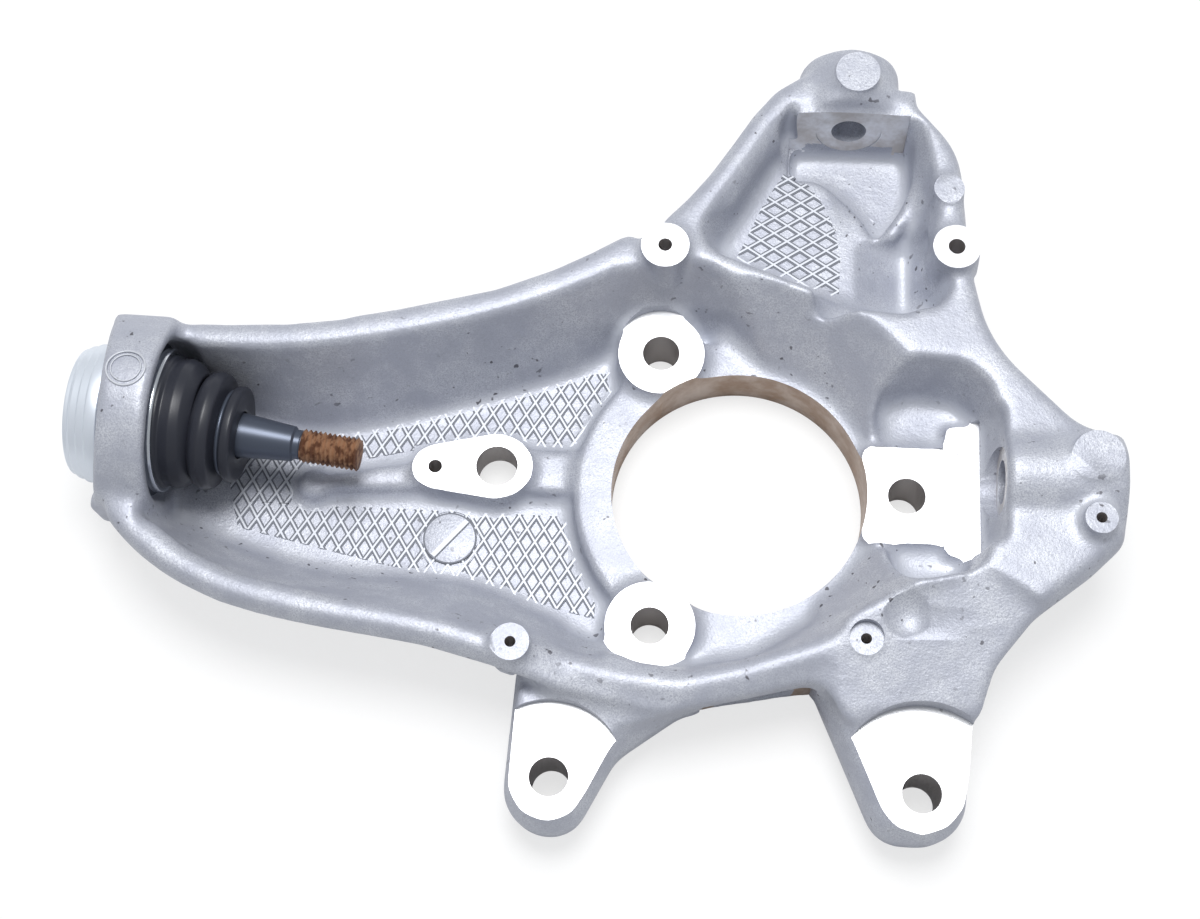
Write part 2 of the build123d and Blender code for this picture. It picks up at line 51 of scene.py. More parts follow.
hub_bore_r = 46.0
hub_ring_top = 20.0
hub_pad_r = 15.9
hub_pad_top = 24.0
pcd_r = 60.0
hub_bolt_r = 6.75
hub_spot_depth = 0.2
hub_spot_r = 12.2
ears = ((-62.0, -108.0), (64.0, -108.0))
ear_face_z = 30.0
ear_hole_r = 6.75
ear_spot_depth = 0.35
ear_spot_r = 10.8
sensor_centre = (-88.0, 7.0)
sensor_screw_centre = (-110.5, 6.0)
sensor_pad_top = 19.0
head_centre = Vector((37.0, 141.0, 37.0))
head_direction = Vector((0.0, math.cos(math.radians(6)), -math.sin(math.radians(6))))
side_centre = Vector((91.0, 2.0, 37.0))
flange_centre = Vector((10.0, -72.2, 10.0))
flange_direction = Vector((math.sin(math.radians(11)), -math.cos(math.radians(11)), 0.0))
shield_screws = (
    (-30.0, 82.0, 53.0, 8.6, 2.5),
    (74.5, 85.0, 54.0, 8.4, 3.0),
    (-76.5, -67.0, 50.8, 6.4, 1.9),
    (44.0, -58.0, 41.0, 5.0, 1.9),
    (122.0, -16.0, 55.5, 5.5, 1.9),
)
round_marks = ((122.0, 7.0, 55.8, 9.3), (72.5, 110.0, 51.0, 6.2))
ball_centre = Vector((-219.5, 14.0, 36.0))
housing_direction = Vector((math.cos(math.radians(4)), -math.sin(math.radians(4)), 0.0))
stud_direction = Vector((math.cos(math.radians(7.5)), -math.sin(math.radians(7.5)), 0.0))
dimple = Vector((57.6, -52.6, 44.2))
date_centre = Vector((-104.0, -18.7, 0.0))
trough_floor = 10.0
under_edge = 6.0
edge_run = 6.0
full_hollow = 0.03
casting_triangles = 165000
head_button = Vector((38.5, 153.5, 57.6))
speed_sensor_holes = ((Vector((3.93, 0.76, -0.5)), 5.5, 34), (Vector((-10.8, -2.1, -3)), 2.5, 16))


def turn_to(direction):
    """The rotation that takes local Z to the given direction, with local X as near to world Z as it goes."""
    z = Vector(direction).normalized()
    x = Vector((0, 0, 1)) if abs(z.z) < 0.9 else Vector((1, 0, 0))
    y = z.cross(x).normalized()
    x = y.cross(z)
    return Matrix((x, y, z)).transposed()


def object_from(bm, name, smooth_angle=40):
    """A finished object from a bmesh in millimetres."""
    bmesh.ops.scale(bm, vec=(MM, MM, MM), verts=bm.verts)
    mesh = bpy.data.meshes.new(name)
    bm.to_mesh(mesh)
    bm.free()
    thing = bpy.data.objects.new(name, mesh)
    bpy.context.scene.collection.objects.link(thing)
    shade(mesh, smooth_angle)
    return thing


def shade(mesh, angle):
    """Smooth shading, with a crease where two faces meet at more than the angle."""
    mesh.shade_smooth()
    mesh.set_sharp_from_angle(angle=math.radians(angle))


def round_bar(bm, centre, direction, radius, length, end_radius=None, segments=72):
    """A closed cylinder, or a cone, that starts at centre and runs along direction."""
    made = bmesh.ops.create_cone(
        bm, cap_ends=True, segments=segments, radius1=radius,
        radius2=radius if end_radius is None else end_radius, depth=length,
    )["verts"]
    bmesh.ops.translate(bm, verts=made, vec=(0, 0, length / 2))
    bmesh.ops.rotate(bm, verts=made, matrix=turn_to(direction))
    bmesh.ops.translate(bm, verts=made, vec=centre)
    return made


def block(bm, low, high):
    """A closed box between two corners."""
    low, high = Vector(low), Vector(high)
    made = bmesh.ops.create_cube(bm, size=1)["verts"]
    bmesh.ops.scale(bm, verts=made, vec=high - low)
    bmesh.ops.translate(bm, verts=made, vec=(low + high) / 2)
    return made


def ball(bm, centre, radius, stretch=(1, 1, 1)):
    """A closed ball, or an egg if it is stretched."""
    made = bmesh.ops.create_icosphere(bm, subdivisions=4, radius=radius)["verts"]
    bmesh.ops.scale(bm, verts=made, vec=stretch)
    bmesh.ops.translate(bm, verts=made, vec=centre)
    return made


def upright(bm, outline, low, high):
    """A closed prism over a flat outline."""
    base = bm.faces.new([bm.verts.new((x, y, low)) for x, y in outline])
    grown = bmesh.ops.extrude_face_region(bm, geom=[base])["geom"]
    lifted = [v for v in grown if isinstance(v, bmesh.types.BMVert)]
    bmesh.ops.translate(bm, verts=lifted, vec=(0, 0, high - low))
    bmesh.ops.recalc_face_normals(bm, faces=bm.faces)
    return lifted


def turned(name, profile, centre, direction, rounding=0.3, segments=128, closed=True, angle=40):
    """A turned piece: a profile of (radius, distance) points round an axis, with its corners rounded."""
    bm = bmesh.new()
    verts = [bm.verts.new((r, 0, s)) for r, s in profile]
    edges = [bm.edges.new(pair) for pair in zip(verts, verts[1:])]
    if closed:
        edges.append(bm.edges.new((verts[-1], verts[0])))
    inner = [v for v in verts if v.co.x > 1e-4]
    if rounding:
        bmesh.ops.bevel(
            bm, geom=inner, offset=rounding, segments=3, profile=0.5, affect="VERTICES", material=-1,
            clamp_overlap=True,
        )
    bmesh.ops.spin(
        bm, geom=bm.verts[:] + bm.edges[:], axis=(0, 0, 1), cent=(0, 0, 0), angle=2 * math.pi, steps=segments,
        use_merge=True,
    )
    bmesh.ops.remove_doubles(bm, verts=bm.verts, dist=1e-5)
    bmesh.ops.recalc_face_normals(bm, faces=bm.faces)
    bmesh.ops.rotate(bm, verts=bm.verts, matrix=turn_to(direction))
    bmesh.ops.translate(bm, verts=bm.verts, vec=centre)
    return object_from(bm, name, angle)


def settle(thing):
    """Applies the modifiers of an object to its mesh."""
    evaluated = thing.evaluated_get(bpy.context.evaluated_depsgraph_get())
    old = thing.data
    thing.data = bpy.data.meshes.new_from_object(evaluated)
    thing.modifiers.clear()
    bpy.data.meshes.remove(old)


def read(items, name, width, kind=np.float32):
    """An attribute of a mesh's elements as an array."""
    values = np.empty(len(items) * width, kind)
    items.foreach_get(name, values)
    return values.reshape(-1, width) if width > 1 else values


def hollowness(mesh, rounds):
    """How hollow the surface is at each vertex, averaged over some rings. It is negative on an edge."""
    count = len(mesh.vertices)
    points = read(mesh.vertices, "co", 3)
    ends = read(mesh.edges, "vertices", 2, np.int32)
    number = np.bincount(ends.ravel(), minlength=count)

    def around(values):
        total = np.bincount(ends[:, 0], values[ends[:, 1]], count)
        total += np.bincount(ends[:, 1], values[ends[:, 0]], count)
        return total / np.maximum(number, 1)

    offset = np.stack([around(points[:, i]) for i in range(3)], 1) - points
    bend = (offset * read(mesh.vertices, "normal", 3)).sum(1)
    for _ in range(rounds):
        bend = around(bend)
    return bend


def smooth(thing, turns, weights=None):
    """Relaxes the mesh, only as far as the weights say where they are given."""
    relax = thing.modifiers.new("relax", "SMOOTH")
    relax.factor = 0.5
    relax.iterations = turns
    if weights is not None:
        group = thing.vertex_groups.new(name="soft")
        steps = np.round(weights * 10).astype(int)
        for step in range(1, 11):
            group.add(np.flatnonzero(steps == step).tolist(), step / 10, "REPLACE")
        relax.vertex_group = "soft"
    settle(thing)
    thing.vertex_groups.clear()


def soften_hollows(thing, turns, strength, rings):
    """Fillets the hollow corners above the under side by relaxing only them."""
    for _ in range(turns):
        bend = hollowness(thing.data, rings)
        z = read(thing.data.vertices, "co", 3)[:, 2] / MM
        weights = np.clip(bend / (full_hollow * MM), 0, 1) * np.clip((z - under_edge) / edge_run, 0, 1)
        smooth(thing, strength, weights)


def cut(thing, cuts):
    """Takes the volumes of a bmesh away from the object."""
    cutter = object_from(cuts, "cutter")
    change = thing.modifiers.new("cut", "BOOLEAN")
    change.operation = "DIFFERENCE"
    change.solver = "MANIFOLD"
    change.object = cutter
    settle(thing)
    bpy.data.objects.remove(cutter)


def opened(thing):
    """The object's mesh as a bmesh in millimetres. The object is deleted."""
    bm = bmesh.new()
    bm.from_mesh(thing.data)
    bmesh.ops.scale(bm, vec=(1 / MM,) * 3, verts=bm.verts)
    bpy.data.objects.remove(thing)
    return bm


# The casting. A copy of the solid gets its rolls, fillets and rounded edges, and is then machined again.

hub_pads = [Matrix.Rotation(math.radians(turn), 3, "Z") @ Vector((pcd_r, 0, 0)) for turn in (0, 120, 240)]


def roll(bm, radius, *points):
    """A round bead along a line of points."""
    for start, end in zip(points, points[1:]):
        start, end = Vector(start), Vector(end)
        round_bar(bm, start, end - start, radius, (end - start).length, segments=32)
        ball(bm, end, radius)
    ball(bm, points[0], radius)


def sloped(bm, outline, low, high, slope, level_y):
    """A prism whose top, or whose bottom, rises with y from the height that it has at level_y."""
    made = upright(bm, outline, 0, 1)
    for v in set(made) | {v for top in made for e in top.link_edges for v in e.verts}:
        lean = (v.co.y - level_y) * slope
        if v.co.z > 0.5:
            v.co.z = high + lean * (high < 60)
        else:
            v.co.z = low + lean * (high >= 60)


def skin_over(thing, size):
    """One closed skin over all the volumes of an object."""
    skin = thing.modifiers.new("skin", "REMESH")
    skin.mode = "VOXEL"
    skin.voxel_size = size * MM
    settle(thing)


casting_bm = bmesh.new()
casting_bm.from_mesh(nodes["knuckle_casting"].data)
bmesh.ops.scale(casting_bm, vec=(1 / MM,) * 3, verts=casting_bm.verts)
bmesh.ops.remove_doubles(casting_bm, verts=casting_bm.verts, dist=0.001)

# Round beads on the rims, and the head's outer wall under its bead
roll(casting_bm, 4.2, (-198, 43, 45.4), (-184.7, 43.2, 45.4), (-164, 44.2, 45.4), (-140, 47.7, 45))
roll(
    casting_bm, 5.6, (-140, 47.2, 44.3), (-124.3, 50.6, 44.3), (-88.9, 60, 44.3), (-67.7, 69, 44.3),
    (-53.6, 76.8, 44.3), (-43, 83.4, 44.3),
)
roll(
    casting_bm, 5.8, (-206, -33, 44), (-194, -42, 44), (-176, -50.2, 44), (-142, -57.2, 44),
    (-106, -62.2, 44), (-84, -67.5, 43), (-72, -69.6, 40), (-62, -70.6, 37), (-41.6, -75, 35.2),
    (-19, -77, 35), (3.2, -71.4, 35.2), (25.6, -63.6, 36), (44.6, -56.5, 37),
)
roll(
    casting_bm, 6.2, (-26, 92, 43.8), (-17.7, 101.2, 43.8), (-9.7, 111.9, 43.8), (-2.3, 123.7, 43.8),
    (5.5, 136.8, 43.8), (13, 146.5, 43.8), (22, 153, 43.5),
)
upright(
    casting_bm,
    (
        (-36, 90), (-21, 102.5), (-12.5, 114), (-5, 126.5), (3, 140), (11, 149.5), (19, 156), (26, 149),
        (8, 128), (-6, 104), (-24, 86),
    ),
    8, 44,
)
# Floors of the pockets, and the crest beside the wrench's room
upright(
    casting_bm,
    ((19, 139), (62, 139), (63, 120), (58, 107), (48, 97), (39, 111), (26, 122), (18, 126)),
    6, 20,
)
upright(casting_bm, ((46, 15), (85, 15), (85, 39), (46, 39)), 6, 20)
upright(casting_bm, ((48, -35), (84, -35), (84, -15), (48, -15)), 6, 20)
roll(
    casting_bm, 3.2, (64.5, 143, 36), (65, 130, 34), (63.5, 118.6, 32.5), (59, 108.5, 30.5), (53, 100, 28),
    (49, 95, 24),
)

# The web above the right ear slopes down from the rim
sloped(
    casting_bm,
    (
        (31, -60), (38, -50), (52, -42), (70, -36), (86, -32), (96, -46), (86, -62), (81.5, -82), (42, -84),
        (33, -72),
    ),
    20, 46, 0.24, -45,
)

casting = object_from(casting_bm, "casting")
skin_over(casting, 1.4)

cuts = bmesh.new()
upright(cuts, ((9, 133), (12, 139), (16, 145), (22, 145), (20, 133)), 31, 60)
block(cuts, (-250, 46.4, -10), (-196, 80, 90))
sloped(
    cuts,
    (
        (26, -60), (34, -52), (52, -44), (70, -38), (84, -33), (104, -46), (97, -62), (92, -92), (36, -92),
        (24, -74),
    ),
    46.2, 90, 0.24, -45,
)
upright(
    cuts,
    (
        (-88, -79), (-73, -78.5), (-55, -81.5), (-41.6, -83.5), (-30, -85.5), (-16.5, -86.5), (-8, -92),
        (-30, -104), (-88, -104),
    ),
    34.5, 60,
)
cut(casting, cuts)
cuts = bmesh.new()
slope = block(cuts, (-20, -14, 0), (20, 14, 20))
bmesh.ops.rotate(cuts, verts=slope, matrix=Matrix.Rotation(math.radians(25), 3, "Y"))
bmesh.ops.translate(cuts, verts=slope, vec=(42.5, 84, 28))
upright(
    cuts,
    ((45, -19), (60, -23), (84, -23), (86.5, -18), (87, 27), (80, 36), (62, 39.5), (50, 37), (46, 19)),
    24, 60,
)
cut(casting, cuts)

# Stock that the machining takes off again, and the nut seat's raised pad
stock_bm = opened(casting)
upright(stock_bm, ((17, 138.6), (61, 138.6), (61, 152), (17, 152)), 12, 49)
upright(
    stock_bm,
    (
        (-74.5, -78), (-75.6, -112), (-70.5, -119.8), (-62, -123), (-53.6, -119.5), (-49, -112), (-39.5, -92),
        (-34, -82),
    ),
    22, 33.5,
)
upright(
    stock_bm,
    (
        (38, -78), (41, -86), (52, -113), (56.5, -119.4), (64, -122.2), (72.5, -118.8), (78, -112),
        (80, -100), (81.5, -78),
    ),
    22, 33.5,
)
for place in hub_pads:
    round_bar(stock_bm, place + Vector((0, 0, 1)), (0, 0, 1), hub_pad_r, hub_pad_top + 2)
block(stock_bm, (44, -17.5, 2), (84, 17.5, hub_pad_top + 3))
block(stock_bm, (74, -22, 2), (84, 27, hub_pad_top + 3))
wedge = block(stock_bm, (0, -23, 0), (7, 29, 27))
bmesh.ops.rotate(stock_bm, verts=wedge, matrix=Matrix.Rotation(math.radians(13), 3, "Y"))
bmesh.ops.translate(stock_bm, verts=wedge, vec=(86.8, 0, 23))
round_bar(stock_bm, (0, 0, -3), (0, 0, 1), hub_bore_r + 6, hub_ring_top + 3)
upright(
    stock_bm,
    (
        (-88, -5.6), (-112, -2.6), (-117.5, 1), (-119, 6), (-117.5, 11), (-112, 14.4), (-88, 19.6), (-80, 17),
        (-75.6, 11), (-75.4, 3), (-80, -3),
    ),
    5, sensor_pad_top + 2.5,
)
casting = object_from(stock_bm, "casting")
skin_over(casting, 1.15)
smooth(casting, 14)
soften_hollows(casting, 3, 12, 3)

# Small round bosses, put on after the large edges are rounded
boss_bm = opened(casting)
for x, y, top, boss_r, hole_r in shield_screws:
    round_bar(boss_bm, (x, y, top - 16), (0, 0, 1), boss_r + 1.5, 18, boss_r)
for x, y, top, mark_r in round_marks:
    round_bar(boss_bm, (x, y, top - 8), (0, 0, 1), mark_r, 11, mark_r - 0.8)
round_bar(boss_bm, (head_button.x, head_button.y, 40), (0, 0, 1), 8.6, 19.4, 8.2)
casting = object_from(boss_bm, "casting")
skin_over(casting, 1.1)
smooth(casting, 3)
soften_hollows(casting, 2, 6, 2)
# The hollowness is kept as an attribute, with which the cast material paints the hollows a lighter grey:
# painted light against the shade in them.
depth = np.clip(hollowness(casting.data, 3) / (0.05 * MM), -1, 1)
hollow_layer = casting.data.attributes.new("hollow", "FLOAT", "POINT")
hollow_layer.data.foreach_set("value", depth.astype(np.float32))
thin = casting.modifiers.new("thin", "DECIMATE")
thin.ratio = min(1, casting_triangles / (2 * len(casting.data.polygons)))
settle(casting)

# Machining
cuts = bmesh.new()
round_bar(cuts, (0, 0, -5), (0, 0, 1), hub_bore_r, 80, segments=192)
for place in hub_pads:
    round_bar(cuts, place + Vector((0, 0, -5)), (0, 0, 1), hub_bolt_r, 60)
cut(casting, cuts)
for place in hub_pads:
    cuts = bmesh.new()
    round_bar(cuts, place + Vector((0, 0, hub_pad_top)), (0, 0, 1), 17.0, 40)
    cut(casting, cuts)
cuts = bmesh.new()
block(cuts, (-300, -200, -20), (200, 200, 0))
for x, y in ears:
    round_bar(cuts, (x, y, -5), (0, 0, 1), ear_hole_r, 60)
for x, y, r in (sensor_centre + (7.6,), sensor_screw_centre + (2.5,)):
    round_bar(cuts, (x, y, -25), (0, 0, 1), r, 60)
for x, y, top, boss_r, hole_r in shield_screws:
    round_bar(cuts, (x, y, top), (0, 0, 1), boss_r + 1.0, 20)
for x, y, top, mark_r in round_marks:
    round_bar(cuts, (x, y, top), (0, 0, 1), mark_r + 2, 20)
round_bar(cuts, head_button, (0, 0, 1), 12, 20)
round_bar(cuts, head_centre + head_direction * -20, head_direction, 6.5, 60)
round_bar(cuts, side_centre + Vector((-20, 0, 0)), (1, 0, 0), 7.8, 80)
upright(
    cuts, ((42, -18.5), (73, -18.5), (74, -24), (86, -24), (86, 29), (74, 29), (73, 18.5), (42, 18.5)),
    hub_pad_top, hub_pad_top + 4,
)
round_bar(cuts, date_centre + Vector((0, 0, trough_floor + 0.02)), (0, 0, 1), 10.4, 4)
ball(cuts, (dimple.x, dimple.y, dimple.z + 10.0), 12.6)
cut(casting, cuts)
cuts = bmesh.new()
for (x, y), reach in zip(ears, (26.0, 30.0)):
    round_bar(cuts, (x, y, ear_face_z), (0, 0, 1), reach, 30)
upright(
    cuts, ((-104, -10), (-72, -10), (-72, 24), (-124, 18), (-124, -6)), sensor_pad_top, sensor_pad_top + 6,
)
for x, y, top, boss_r, hole_r in shield_screws:
    round_bar(cuts, (x, y, top - 16), (0, 0, 1), hole_r, 30)
pad = block(cuts, (-21.8, -12.6, 0), (21.8, 11.8, 14))
bmesh.ops.rotate(cuts, verts=pad, matrix=turn_to(-head_direction) @ Matrix.Rotation(math.pi / 2, 3, "Z"))
bmesh.ops.translate(cuts, verts=pad, vec=head_centre - head_direction * 1.6)
round_bar(cuts, side_centre + Vector((0.6, 0, 0)), (-1, 0, 0), 12.5, 8)
mill = block(cuts, (-22, -12, -2), (18, 0, 27))
bmesh.ops.rotate(cuts, verts=mill, matrix=Matrix.Rotation(math.radians(11), 3, "Z"))
bmesh.ops.translate(cuts, verts=mill, vec=(flange_centre.x, flange_centre.y, 0))
cut(casting, cuts)
cuts = bmesh.new()
for x, y in ears:
    round_bar(cuts, (x, y, ear_face_z - ear_spot_depth), (0, 0, 1), ear_spot_r, 30)
for place in hub_pads:
    round_bar(cuts, place + Vector((0, 0, hub_pad_top - hub_spot_depth)), (0, 0, 1), hub_spot_r, 30)
round_bar(cuts, head_centre - head_direction * 1.1, -head_direction, 12.2, 8)
for shift, hole_r, length in speed_sensor_holes:
    round_bar(cuts, flange_centre + shift + flange_direction * 2, -flange_direction, hole_r, length)
cut(casting, cuts)
shade(casting.data, 50)

# Kinds of surface on the casting, in the order of its materials
CAST, MACHINED, BORE, TAN, SEAT = range(5)


def finish_faces(kind, test):
    """Gives this kind to the faces that pass the test, which gets their middles in mm and their normals."""
    faces = casting.data.polygons
    middles = read(faces, "center", 3) / MM
    normals = read(faces, "normal", 3)
    kinds = read(faces, "material_index", 1, np.int32)
    kinds[test(middles, normals)] = kind
    faces.foreach_set("material_index", kinds)


def away(middles, x, y):
    """Distance of the faces from an upright axis."""
    return np.hypot(middles[:, 0] - x, middles[:, 1] - y)


def level(z, x, y, radius, slack=0.05):
    """Faces of a level machined face."""
    return lambda m, n: (abs(m[:, 2] - z) < slack) & (n[:, 2] > 0.98) & (away(m, x, y) < radius)


def hole(x, y, radius):
    """Faces of an upright hole's wall."""
    return lambda m, n: (abs(away(m, x, y) - radius) < 0.12) & (abs(n[:, 2]) < 0.2)


def seat(centre, direction, radius, offset=0.0):
    """Faces of a flat seat with any direction."""
    def test(m, n):
        apart = m - np.array(centre)
        along = apart @ np.array(direction)
        facing = abs(n @ np.array(direction)) > 0.98
        return (abs(along - offset) < 0.06) & facing & (np.linalg.norm(apart, axis=1) < radius)
    return test


casting.data.materials.clear()
for kind in range(5):
    casting.data.materials.append(None)
finish_faces(CAST, lambda m, n: m[:, 2] > -100)
for place in hub_pads:
    finish_faces(MACHINED, level(hub_pad_top, place.x, place.y, 17.5))
    finish_faces(MACHINED, level(hub_pad_top - hub_spot_depth, place.x, place.y, hub_spot_r))
    finish_faces(BORE, hole(place.x, place.y, hub_bolt_r))
finish_faces(MACHINED, level(hub_pad_top, pcd_r, 0, 21))
for x, y in ears:
    finish_faces(MACHINED, level(ear_face_z, x, y, 31))
    finish_faces(MACHINED, level(ear_face_z - ear_spot_depth, x, y, 12))
    finish_faces(BORE, hole(x, y, ear_hole_r))
finish_faces(MACHINED, level(sensor_pad_top, -96, 7, 40))
for x, y, r in (sensor_centre + (7.6,), sensor_screw_centre + (2.5,)):
    finish_faces(BORE, hole(x, y, r))
for x, y, top, boss_r, hole_r in shield_screws[:2]:
    finish_faces(MACHINED, level(top, x, y, boss_r + 2))
for x, y, top, boss_r, hole_r in shield_screws:
    finish_faces(BORE, hole(x, y, hole_r))
finish_faces(TAN, hole(0, 0, hub_bore_r))
finish_faces(TAN, seat(flange_centre, flange_direction, 40))
finish_faces(SEAT, seat(head_centre, -head_direction, 34, 1.6))
finish_faces(SEAT, seat(head_centre, -head_direction, 14, 1.1))
finish_faces(SEAT, seat(side_centre, Vector((1, 0, 0)), 22, 0.6))

kinds = read(casting.data.polygons, "material_index", 1, np.int32)
casting.data.polygons.foreach_set("use_smooth", (kinds != MACHINED) & (kinds != SEAT))

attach(casting, "knuckle")
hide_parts("knuckle_casting")

# Cast ridges in diamonds


def diamonds(name, outlines, z, wide, tall, shift):
    """Two crossing sets of low cast ridges on a level floor, kept inside convex outlines. A wide, low dark
    band under each ridge's foot is painted shade.
    """
    bm = bmesh.new()
    pitch = wide * tall / math.hypot(wide, tall)
    slope = math.atan2(tall, wide)
    for outline in outlines:
        corners = [Vector((x, y, 0)) for x, y in outline]
        centre = sum(corners, Vector()) / len(corners)
        reach = max((c - centre).length for c in corners)
        part = bmesh.new()
        for lean, height in ((slope, 0.45), (-slope, 0.44)):
            along = Vector((math.cos(lean), math.sin(lean), 0))
            across = Vector((-along.y, along.x, 0))
            rows = [(c - Vector(shift).to_3d()).dot(across) / pitch for c in corners]
            for row in range(math.ceil(min(rows)), math.floor(max(rows)) + 1):
                middle = Vector(shift).to_3d() + across * row * pitch
                middle += along * (centre - middle).dot(along)
                # Each ridge is a raised bar over a wide, low bar. The low bar takes the dark material as
                # painted shade at the ridge's foot.
                for foot, top, crest in ((0.62, height, 0.34), (1.05, height * 0.1 + 0.02, 1.0)):
                    bar = bmesh.ops.create_cube(part, size=1)["verts"]
                    for v in bar:
                        side = foot if v.co.z < 0 else crest
                        level_z = top if v.co.z > 0 else -0.8
                        v.co = Vector((v.co.x * 2 * reach, math.copysign(side, v.co.y), level_z))
                    bmesh.ops.rotate(part, verts=bar, matrix=Matrix.Rotation(lean, 3, "Z"))
                    bmesh.ops.translate(part, verts=bar, vec=middle)
        for one, other in zip(corners, corners[1:] + corners[:1]):
            outward = Vector((other.y - one.y, one.x - other.x, 0))
            cut_edges = bmesh.ops.bisect_plane(
                part, geom=part.verts[:] + part.edges[:] + part.faces[:], plane_co=one, plane_no=outward,
                clear_outer=True,
            )["geom_cut"]
            rim = [e for e in cut_edges if isinstance(e, bmesh.types.BMEdge)]
            bmesh.ops.holes_fill(part, edges=rim, sides=8)
        bmesh.ops.translate(part, verts=part.verts, vec=(0, 0, z))
        bmesh.ops.recalc_face_normals(part, faces=part.faces)
        # Faces of the raised bars take the ridge colour. The low bars take the dark material, painted shade
        # at the ridges' feet.
        for face in part.faces:
            face.material_index = 0 if max(v.co.z for v in face.verts) > z + 0.2 else 1
        copy = bpy.data.meshes.new("part")
        part.to_mesh(copy)
        part.free()
        bm.from_mesh(copy)
        bpy.data.meshes.remove(copy)
    made = object_from(bm, name, 30)
    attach(made, "knuckle")
    return made


trough_ridges = diamonds(
    "trough_ridges",
    [
        [(-164, 26), (-186, 4), (-163, 5), (-120, 15), (-120, 35.5)],
        [(-120, 17), (-84, 22), (-84, 43), (-120, 35.5)],
        [(-84, 22), (-73, 13), (-57, 12), (-50, 30), (-44, 50), (-84, 43)],
        [(-185, -7.5), (-182, -17.5), (-50, -46.5), (-50, -36), (-58, -8.5)],
        [(-188, 4), (-185, -7.5), (-163, -8), (-163, 5)],
    ],
    trough_floor + 0.2, 6.2, 9.9, date_centre.xy,
)
head_ridges = diamonds(
    "head_ridges",
    [
        [
            (-4, 88), (5, 81), (34.5, 72), (35, 90), (33.4, 100.4), (29.5, 110.8), (23.3, 120.3), (13.9, 126),
            (6, 112),
        ],
    ],
    29.2, 9.7, 6.5, (20, 100),
)

# Round casting date marker without any figures: a disc with a bar across, a low dark strip along one side of
# the bar that is a painted shadow, and a dark joint round it
date_disc = turned(
    "date_disc", [(0, 9.0), (9.2, 9.0), (9.2, 10.9), (0, 10.9)], date_centre, (0, 0, 1), 0.1, closed=False,
    angle=30,
)
date_joint = turned(
    "date_joint", [(9.1, 9.0), (9.75, 9.0), (9.75, 10.8), (9.1, 10.8)], date_centre, (0, 0, 1), 0.05,
)
bar_bm = bmesh.new()
for low, high, top in (((-9.0, -0.9), (9.0, 0.9), 11.2), ((-9.0, -1.45), (9.0, -0.85), 10.96)):
    bar = block(bar_bm, (*low, 10.0), (*high, top))
    bmesh.ops.rotate(bar_bm, verts=bar, matrix=Matrix.Rotation(math.radians(50), 3, "Z"))
    bmesh.ops.translate(bar_bm, verts=bar, vec=date_centre)
# The low strip beside the bar takes the dark material: a painted shadow of the bar.
for face in bar_bm.faces:
    face.material_index = 0 if max(v.co.z for v in face.verts) > 11.1 else 1
date_bar = object_from(bar_bm, "date_bar", 30)

# Ring mark on the eye's outer band
mark_bm = bmesh.new()
for ring_r, wire in ((6.7, 0.4), (5.2, 0.3)):
    circle = bmesh.ops.create_circle(mark_bm, segments=12, radius=wire)["verts"]
    bmesh.ops.rotate(mark_bm, verts=circle, matrix=Matrix.Rotation(math.pi / 2, 3, "X"))
    bmesh.ops.translate(mark_bm, verts=circle, vec=(ring_r, 0, 0))
    edges = list({e for v in circle for e in v.link_edges})
    bmesh.ops.spin(
        mark_bm, geom=circle + edges, axis=(0, 0, 1), cent=(0, 0, 0), angle=2 * math.pi, steps=72,
        use_merge=True,
    )
bmesh.ops.recalc_face_normals(mark_bm, faces=mark_bm.faces)
for v in mark_bm.verts:
    v.co.z += 36.2 - v.co.y ** 2 / 72
bmesh.ops.rotate(mark_bm, verts=mark_bm.verts, matrix=Matrix.Rotation(math.radians(-7), 3, "X"))
bmesh.ops.translate(mark_bm, verts=mark_bm.verts, vec=(-213.2, 14, 36))
eye_mark = object_from(mark_bm, "eye_mark")
for piece in (date_disc, date_joint, date_bar, eye_mark):
    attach(piece, "knuckle")

# Ball joint

housing = turned(
    "joint_housing",
    [
        (15.2, 0), (15.2, -14.2), (20, -14.2), (20, -17.4), (22.8, -17.4), (22.8, -15.6), (24, -15.0),
        (24, -12.1), (25, -12.1), (25, -8.9), (26, -8.9), (26, -4.5), (23.98, -4.5), (23.98, 10.4),
        (21.5, 10.4), (21.5, 17), (19.4, 17), (11.7, 9.8),
    ],
    ball_centre, housing_direction, 0.5,
)
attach(housing, "knuckle")
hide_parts("ball_joint_housing")

clamp_ring = turned(
    "clamp_ring",
    [(23.9, 11.2), (25.6, 11.2), (26.0, 12.2), (25.7, 13.0), (26.0, 13.8), (25.6, 14.9), (23.9, 14.9)],
    ball_centre, housing_direction, 0.3,
)
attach(clamp_ring, "knuckle")
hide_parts("boot_clamp_ring")

boot_middle = 26.8
boot_root = turned(
    "boot_root",
    [
        (21.7, 10.6), (24.0, 10.6), (24.0, 15.6), (22.6, 16.6), (23.4, 20.5), (22.4, 23.6),
        (18.9, boot_middle), (17.3, boot_middle), (20.6, 22.8), (21.2, 20.4), (20.9, 17.8), (21.7, 17.3),
    ],
    ball_centre, (housing_direction * 0.7 + stud_direction * 0.3), 0.9,
)
boot_tip = turned(
    "boot_tip",
    [
        (18.9, boot_middle), (20.6, 28.3), (21.6, 31.4), (20.4, 34.2), (15.2, 35.4), (14.0, 36.4),
        (15.0, 37.4), (17.2, 37.6), (17.5, 40.6), (16.4, 41.4), (8.5, 41.4), (8.5, 37.4), (12.6, 35.4),
        (18.2, 33.2), (19.4, 31.2), (18.6, 29.2), (17.3, boot_middle),
    ],
    ball_centre, stud_direction, 0.8,
)
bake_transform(boot_root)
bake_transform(boot_tip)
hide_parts("rubber_boot")
